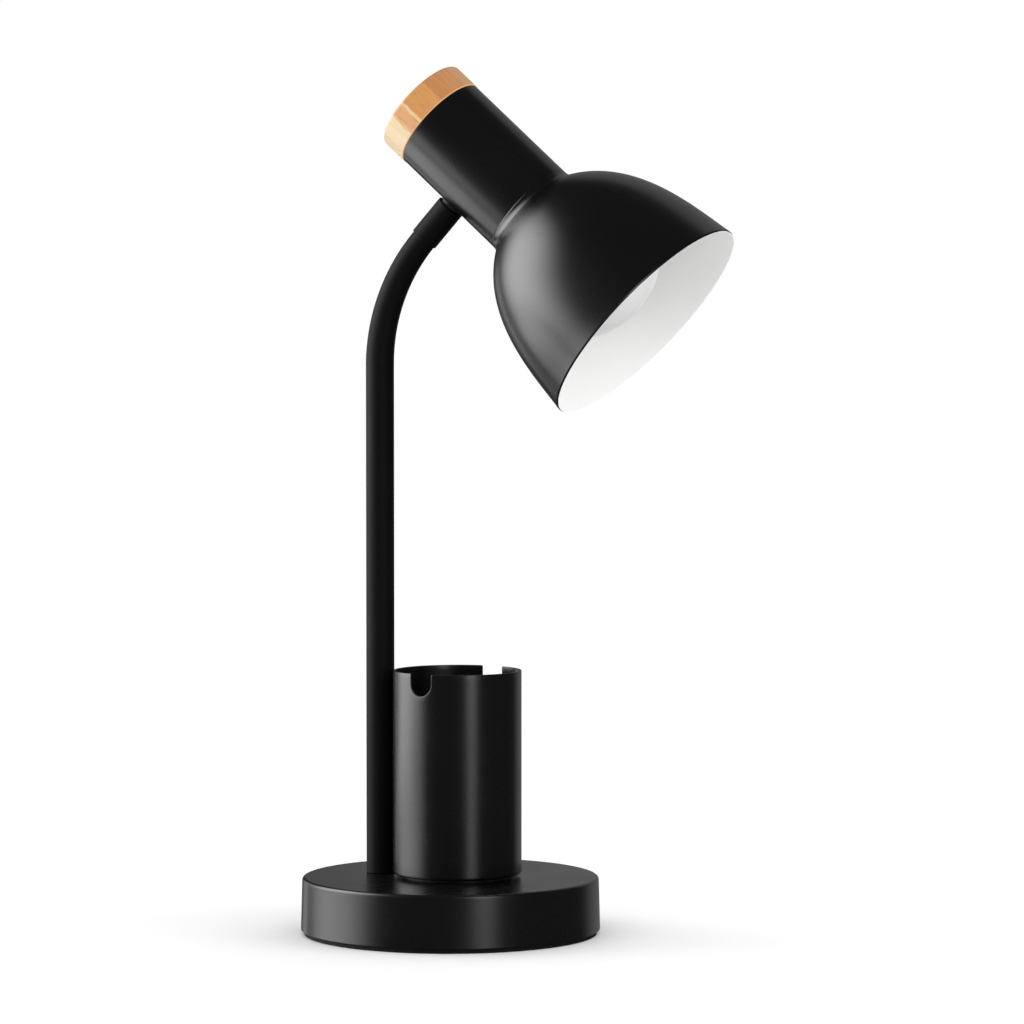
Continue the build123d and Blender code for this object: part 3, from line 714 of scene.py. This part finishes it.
def cup_edge_rows():
    """The rounded edge from the outer to the inner wall: two quarter arcs across the metal."""
    turn = np.linspace(0, pi / 2, EDGE_STEPS + 1)[1:]
    outer = [(CUP_RADIUS - CUP_EDGE * (1 - cos(t)), CUP_EDGE * (1 - sin(t))) for t in turn]
    inner = [(2 * CUP_RADIUS - CUP_WALL - radius, inset) for radius, inset in reversed(outer)]
    rows = []
    for radius, inset in outer + inner:
        angle, height = rim_outline(radius, inset)
        rows.append(np.stack([radius * np.cos(angle), radius * np.sin(angle), height], -1))
    return np.array(rows)


def cup_turned_rows(profile):
    """Rows of the turned parts of the cup, under the same columns as its walls."""
    angle = cup_foot_angles()
    radius, height = profile[:, :1], profile[:, 1:2]
    return np.stack([radius * np.cos(angle), radius * np.sin(angle), height + 0 * angle], -1)


def pen_cup_piece():
    """Bottom, outer wall, edge, inner wall and floor as one grid from pole to pole."""
    inner_radius = CUP_RADIUS - CUP_WALL
    below = rounded([
        (0, CUP_BOTTOM), (CUP_RADIUS, CUP_BOTTOM, CUP_CORNER), (CUP_RADIUS, CUP_BOTTOM + CUP_FOOT),
    ])
    floor = rounded([
        (inner_radius, CUP_FLOOR + CUP_FOOT), (inner_radius, CUP_FLOOR, CUP_INSIDE_CORNER),
        (0, CUP_FLOOR),
    ])
    grid = np.concatenate([
        cup_turned_rows(below[:-1]),
        cup_wall_rows(CUP_RADIUS, below[-1][1], WALL_STEPS),
        cup_edge_rows(),
        cup_wall_rows(inner_radius, floor[0][1], WALL_STEPS)[::-1],
        cup_turned_rows(floor[1:]),
    ])
    grid[..., 0] += CUP_X
    bands = grid_bands(*grid.shape[:2], True, True, False)
    return make_piece("pen_cup_shell", grid, bands, [satin_black])


stand_for(pen_cup_piece(), "base", "black_paint", "pen_cup")


# Neck: a sleeve and a hose in seven lengths, each along a seventh of the bend
def bent_length(name, number, outside, bore, columns, finish):
    """A tube along one length of the neck: rings round the bend, outside up and inside down."""
    steps = len(outside)
    share = (number + np.linspace(0, 1, steps)) / NECK_PIECES
    radius = np.concatenate([outside, np.full(steps, bore)])[:, None]
    turn = (NECK_BEND * np.concatenate([share, share[::-1]]))[:, None]
    around = np.arange(columns) * 2 * pi / columns
    reach = NECK_BEND_RADIUS - radius * np.cos(around)
    x = STEM_X + NECK_BEND_RADIUS - reach * np.cos(turn)
    z = STEM_TOP + reach * np.sin(turn)
    points = np.stack([x, radius * np.sin(around) + 0 * x, z], -1)
    rows = 2 * steps
    bands = grid_bands(rows, columns, False, False, True)
    row_of_point = np.repeat(np.arange(rows), columns)
    ends = (0, steps - 1, steps, rows - 1)
    return make_piece(name, points, bands, [finish], None, ends, row_of_point)


def sleeve_length(number):
    """A smooth sleeve that narrows evenly towards the collar."""
    share = (number + np.linspace(0, 1, SLEEVE_RINGS)) / NECK_PIECES
    outside = NECK_LOW_RADIUS + (NECK_HIGH_RADIUS - NECK_LOW_RADIUS) * share
    name = f"neck_sleeve_{number + 1}"
    return bent_length(name, number, outside, NECK_BORE_RADIUS, 96, dull_black)


def hose_length(number):
    """A hose of wound strip: its radius rises and falls with a sine's size along the length."""
    along = np.linspace(0, 1, HOSE_RIDGES * RIDGE_STEPS + 1)
    outside = HOSE_RADIUS - HOSE_GROOVE * (1 - np.abs(np.sin(HOSE_RIDGES * pi * along)))
    name = f"neck_hose_{number + 1}"
    return bent_length(name, number, outside, HOSE_BORE_RADIUS, 48, finish_of_slot["hose_steel"])


for number in range(NECK_PIECES):
    for piece, slot_name, node_name in (
        (sleeve_length(number), "sleeve", f"hose_sleeve_{number}"),
        (hose_length(number), "hose_steel", f"hose_core_{number}"),
    ):
        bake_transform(piece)
        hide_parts(node_name)


# Collar, lamp tube and wooden cap
collar_profile = rounded([
    (NECK_BORE_RADIUS, 0, 0.1), (COLLAR_RADIUS, 0, 0.35),
    (COLLAR_RADIUS, COLLAR_LENGTH, 0.35), (NECK_BORE_RADIUS, COLLAR_LENGTH, 0.1),
], closed=True)
collar = turned_piece("collar_ring", collar_profile, collar_place, [dull_black], columns=96)
stand_for(collar, "head", "black_paint", "neck_collar")

tube_inside = TUBE_RADIUS - TUBE_WALL
tube_profile = rounded([
    (tube_inside, 0, 0.1), (TUBE_RADIUS, 0, 0.15),
    (TUBE_RADIUS, TUBE_LENGTH, 0.2), (tube_inside, TUBE_LENGTH, 0.2),
], closed=True)
tube = turned_piece("lamp_tube", tube_profile, head_place, [satin_black], columns=192)
stand_for(tube, "head", "black_paint", "head_tube")

tenon_radius = tube_inside - TENON_GAP
cap_profile = rounded([
    (0, TUBE_LENGTH - TENON_DEPTH), (tenon_radius, TUBE_LENGTH - TENON_DEPTH, 0.4),
    (tenon_radius, TUBE_LENGTH), (CAP_RADIUS, TUBE_LENGTH, 0.35),
    (CAP_RADIUS, CAP_TOP, CAP_EDGE), (0, CAP_TOP),
])
cap = turned_piece("bamboo_cap", cap_profile, head_place, [finish_of_slot["bamboo"]], columns=192)
stand_for(cap, "head", "bamboo", "wood_cap")


# Bell shade
def lip_rows(end):
    """The lip: a quadratic Bezier curve that leaves the tube upright and ends on the bell's slope.

    Its start is weighted by (1 - t) squared, the corner on the tube by 2t(1 - t), and its
    end by t squared.
    """
    t = np.linspace(0, 1, LIP_STEPS + 1)[:-1, None]
    radius = TUBE_RADIUS + 2 * SHADE_SEAT_GAP
    start, corner = np.array([radius, SHADE_LIP]), np.array([radius, 0.0])
    return (1 - t) ** 2 * start + 2 * t * (1 - t) * corner + t ** 2 * end


def rim_rows(last_outside, first_inside):
    """The rim, rounded at each edge: a black bevel, the white edge and the mouth's narrow face."""
    mouth_radius, mouth_height = BELL[-1]
    slope = (BELL[-1][0] - BELL[-2][0]) / (BELL[-2][1] - BELL[-1][1])
    return rounded([
        tuple(last_outside),
        (mouth_radius - slope * RIM_BEVEL, mouth_height + RIM_BEVEL, 0.1),
        (mouth_radius - slope * RIM_WHITE - RIM_BEVEL_DEPTH, mouth_height + RIM_WHITE, 0.1),
        (mouth_radius - RIM_REACH, mouth_height, 0.15),
        (mouth_radius - SHADE_WALL, mouth_height + SHADE_WALL - RIM_REACH, 0.1),
        tuple(first_inside),
    ])[1:-1]


def shade_profile():
    """Lip, bell, rim, the bell's inside and the spigot, closed, and the white rows among them.

    The bell's Bezier curve is cut off where the lip ends, and the inside is the same curve
    moved in by the wall. White enamel starts half way through the rim, below its bevel,
    and ends where the spigot starts.
    """
    outside = bezier(BELL, BELL_STEPS)
    run = np.cumsum(np.hypot(*np.diff(outside, axis=0).T))
    outside = outside[1:][run > SHADE_LIP][:-RIM_ROWS]
    inset = SHADE_WALL * np.array([[1, SHADE_WALL_RISE / SHADE_WALL], [1, 0.5], [1, 0], [1, 0]])
    inside = bezier(np.array(BELL) - inset, BELL_STEPS)[:-RIM_ROWS][::-1]
    lip = lip_rows(outside[0])
    rim = rim_rows(outside[-1], inside[0])
    spigot_outer = TUBE_RADIUS - TUBE_WALL - SPIGOT_GAP
    spigot_inner = spigot_outer - SHADE_WALL
    spigot = np.array([
        [spigot_inner, inside[-1][1]], [spigot_inner, SPIGOT_LENGTH],
        [spigot_outer, SPIGOT_LENGTH], [spigot_outer, 0.0],
        [TUBE_RADIUS, -SHADE_SEAT_GAP], [TUBE_RADIUS + SHADE_SEAT_GAP, SHADE_LIP - LIP_LAND],
    ])
    profile = np.concatenate([lip, outside, rim, inside, spigot])
    first_white = len(lip) + len(outside) + len(rim) // 2 - 1
    row = np.arange(len(profile))
    white = (row >= first_white) & (row < len(profile) - len(spigot))
    return profile, white


profile, white = shade_profile()
shade = turned_piece(
    "bell_shade", profile, head_place, [satin_black, white_enamel],
    columns=288, band_finish=white.astype(int),
)
stand_for(shade, "head", "shade_paint", "lamp_shade")


# Bulb
def globe_profile():
    """A flattened nose, a round middle and a flat back: an ellipse quarter, then a circle.

    The nose is on the axis, so its point counts as a pole.
    """
    nose = np.linspace(0, pi / 2, NOSE_STEPS)
    front = np.stack([GLOBE_RADIUS * np.sin(nose), GLOBE_CENTRE - GLOBE_NOSE * np.cos(nose)], -1)
    back_rise = asin((GLOBE_BACK - GLOBE_CENTRE) / GLOBE_RADIUS)
    rise = np.linspace(0, back_rise, REAR_STEPS + 1)[1:]
    rear = np.stack([GLOBE_RADIUS * np.cos(rise), GLOBE_CENTRE + GLOBE_RADIUS * np.sin(rise)], -1)
    front[0, 0] = 0.0
    flat_back = [[rear[-1, 0] - BULB_EDGE, GLOBE_BACK], [0.0, GLOBE_BACK]]
    return np.concatenate([front, rear, flat_back])


globe = turned_piece("opal_globe", globe_profile(), head_place, [opal], columns=192)
stand_for(globe, "head", "opal", "bulb_globe")

back_radius = sqrt(GLOBE_RADIUS ** 2 - (GLOBE_BACK - GLOBE_CENTRE) ** 2)
flare_slope = (GLOBE_BACK - GLOBE_CENTRE) / back_radius
flare_top = GLOBE_BACK + FLARE_DRAW
flare = bezier((
    (back_radius, GLOBE_BACK), (back_radius - flare_slope * FLARE_DRAW, flare_top),
    (BULB_NECK_RADIUS, flare_top), (BULB_NECK_RADIUS, BULB_NECK_START),
), FLARE_STEPS)
bulb_neck = rounded([
    (BULB_NECK_RADIUS, BULB_NECK_START + 1), (BULB_NECK_RADIUS, BULB_SHOULDER, 0.6),
    (0, BULB_SHOULDER),
])
housing_profile = np.concatenate([
    [[0.0, GLOBE_BACK], [back_radius - BULB_EDGE, GLOBE_BACK]], flare, bulb_neck,
])
housing = turned_piece(
    "bulb_housing_shell", housing_profile, head_place, [finish_of_slot["white_plastic"]],
    columns=128,
)
stand_for(housing, "head", "white_plastic", "bulb_housing")


# Floor, backdrop, light and camera
CAMERA_PLACE = Vector((0.8448, -2.0437, 0.3159))
CAMERA_AIM = Vector((-0.3687, 0.92834, -0.0473))
CAMERA_LENS = 155.8
CAMERA_BEARING = -67.5          # degrees round Z from +X to the camera
AMBIENT = 1.08                  # light of the room on matt surfaces
MIRRORED = 0.035                # how bright gloss shows the room between the panels
LIT_PLACE = Vector((0, 0, 0.22))
FLOOR_HALF = 6.0                # metres
FLOOR_ALBEDO = 0.84
FADE_START = 0.3                # metres from the object, where the floor begins to turn plain white
FADE_END = 0.8


def room_light():
    """White to the camera and through glass, even on matt surfaces, and dim in gloss."""
    world = bpy.data.worlds.new("white_room")
    bpy.context.scene.world = world
    world.use_nodes = True
    tree = world.node_tree
    path = add_node(tree, "ShaderNodeLightPath")
    seen, through = path.outputs["Is Camera Ray"], path.outputs["Is Transmission Ray"]
    straight = maths(tree, "MAXIMUM", seen, through)
    mirrored = maths(tree, "MULTIPLY", path.outputs["Is Glossy Ray"], MIRRORED)
    lit = maths(tree, "MULTIPLY", path.outputs["Is Diffuse Ray"], AMBIENT)
    strength = maths(tree, "MAXIMUM", straight, maths(tree, "MAXIMUM", mirrored, lit))
    background = tree.nodes["Background"]
    background.inputs["Color"].default_value = (1, 1, 1, 1)
    tree.links.new(strength, background.inputs["Strength"])


def floor_finish():
    """Matt and pale near the object, so that the shadow shows, and plain white further off."""
    finish = bpy.data.materials.new("pale_floor")
    finish.use_nodes = True
    tree = finish.node_tree
    tree.nodes.clear()
    path = add_node(tree, "ShaderNodeLightPath")
    seen, through = path.outputs["Is Camera Ray"], path.outputs["Is Transmission Ray"]
    straight = maths(tree, "MAXIMUM", seen, through)
    matt = add_node(tree, "ShaderNodeBsdfDiffuse", {"Color": (FLOOR_ALBEDO,) * 3 + (1,)})
    place = add_node(tree, "ShaderNodeTexCoord").outputs["Object"]
    reach = add_node(tree, "ShaderNodeVectorMath", {0: place}, operation="LENGTH").outputs["Value"]
    far = mapped(tree, reach, FADE_START, FADE_END, kind="SMOOTHSTEP")
    faded = maths(tree, "MULTIPLY", far, straight)
    plain = add_node(tree, "ShaderNodeEmission", {"Strength": 1.0})
    paled = add_node(
        tree, "ShaderNodeMixShader", {0: faded, 1: matt.outputs[0], 2: plain.outputs[0]}
    )
    out = add_node(tree, "ShaderNodeOutputMaterial")
    tree.links.new(paled.outputs[0], out.inputs["Surface"])
    return finish


def bearing_vector(bearing):
    """The level direction at a bearing, in degrees to the right of the camera."""
    angle = radians(CAMERA_BEARING + bearing)
    return Vector((cos(angle), sin(angle), 0))


def stage_sheet(name, corners, finish):
    """A flat sheet of the stage, with its corners also laid out from 0 to 1 in its UV map."""
    mesh = bpy.data.meshes.new(name)
    mesh.from_pydata(corners, [], [(0, 1, 2, 3)])
    mesh.uv_layers.new(name="sheet").data.foreach_set("uv", (0, 0, 1, 0, 1, 1, 0, 1))
    mesh.materials.append(finish)
    sheet = bpy.data.objects.new(name, mesh)
    bpy.context.scene.collection.objects.link(sheet)
    return sheet


def lay_floor():
    half = FLOOR_HALF
    corners = [(-half, -half, 0), (half, -half, 0), (half, half, 0), (-half, half, 0)]
    floor = stage_sheet("floor", corners, floor_finish())
    floor.visible_glossy = False


def light_panel(
    name, bearing, near, far, width, low, high, brightness, foot_share, soft, whole=0.5, fall=0.8
):
    """A soft-edged panel for gloss to show, from its foot near and low to its head far and high.

    Its brightness falls to nothing over a soft share of its width at either side. It climbs
    from a share of itself at the foot to the whole at one share of the way up, and from
    the other share on it falls to nothing at the head.
    """
    finish = bpy.data.materials.new(name)
    finish.use_nodes = True
    tree = finish.node_tree
    tree.nodes.clear()
    spot = add_node(tree, "ShaderNodeTexCoord").outputs["UV"]
    across, up = add_node(tree, "ShaderNodeSeparateXYZ", {0: spot}).outputs[:2]
    off_middle = maths(tree, "ABSOLUTE", maths(tree, "SUBTRACT", across, 0.5))
    sides = mapped(tree, off_middle, 0.5, 0.5 - soft, kind="SMOOTHSTEP")
    climb = mapped(tree, up, 0.0, whole, low=foot_share, kind="SMOOTHSTEP")
    top = mapped(tree, up, 1.0, fall, kind="SMOOTHSTEP")
    shape = maths(tree, "MULTIPLY", sides, climb)
    strength = maths(tree, "MULTIPLY", shape, maths(tree, "MULTIPLY", top, brightness))
    glow = add_node(tree, "ShaderNodeEmission", {"Strength": strength})
    out = add_node(tree, "ShaderNodeOutputMaterial")
    tree.links.new(glow.outputs[0], out.inputs["Surface"])
    side = bearing_vector(bearing + 90) * (width / 2)
    foot = bearing_vector(bearing) * near + Vector((0, 0, low))
    head = bearing_vector(bearing) * far + Vector((0, 0, high))
    corners = [foot - side, foot + side, head + side, head - side]
    panel = stage_sheet(name, corners, finish)
    panel.visible_camera = False
    panel.visible_diffuse = False
    panel.visible_shadow = False


def softbox(name, bearing, distance, height, width, tall, brightness):
    """A flat lamp that faces the object. Bearing is in degrees to the right of the camera.

    Its power is its brightness times its area times pi.
    """
    lamp = bpy.data.lights.new(name, "AREA")
    lamp.shape = "RECTANGLE"
    lamp.size, lamp.size_y = width, tall
    lamp.energy = brightness * width * tall * pi
    box = bpy.data.objects.new(name, lamp)
    box.location = bearing_vector(bearing) * distance + Vector((0, 0, height))
    box.rotation_euler = (box.location - LIT_PLACE).to_track_quat("Z", "Y").to_euler()
    box.visible_camera = False
    box.visible_glossy = False
    bpy.context.scene.collection.objects.link(box)


def set_camera():
    data = bpy.data.cameras.new("camera")
    data.lens = CAMERA_LENS
    data.sensor_width = 36
    data.clip_end = 50
    camera = bpy.data.objects.new("camera", data)
    camera.location = CAMERA_PLACE
    camera.rotation_euler = CAMERA_AIM.to_track_quat("-Z", "Y").to_euler()
    bpy.context.scene.collection.objects.link(camera)
    bpy.context.scene.camera = camera


room_light()
lay_floor()
softbox("left_softbox", -104, distance=1.1, height=0.75, width=0.6, tall=1.0, brightness=2.1)
softbox("right_softbox", 70, distance=1.2, height=0.5, width=0.8, tall=0.8, brightness=2.5)
light_panel(
    "left_panel", -98, near=1.1, far=1.1, width=2.08, low=-0.4, high=1.95,
    brightness=3.8, foot_share=0.2, soft=0.45, whole=0.33, fall=0.5,
)
light_panel(
    "left_floor_panel", -108, near=0.4, far=1.3, width=1.0, low=0, high=0,
    brightness=2.28, foot_share=0.22, soft=0.35,
)
light_panel(
    "front_right_panel", 25, near=1.1, far=1.1, width=0.5, low=-0.35, high=1.15,
    brightness=2.07, foot_share=0.15, soft=0.45,
)
light_panel(
    "back_right_panel", 157, near=1.5, far=1.5, width=2.5, low=-0.6, high=2.6,
    brightness=0.261, foot_share=1.0, soft=0.3,
)
light_panel(
    "back_left_panel", -148, near=1.5, far=1.5, width=0.65, low=-1.0, high=0.6,
    brightness=0.79, foot_share=1.0, soft=0.45,
)
set_camera()
bpy.context.scene.view_settings.view_transform = "Standard"
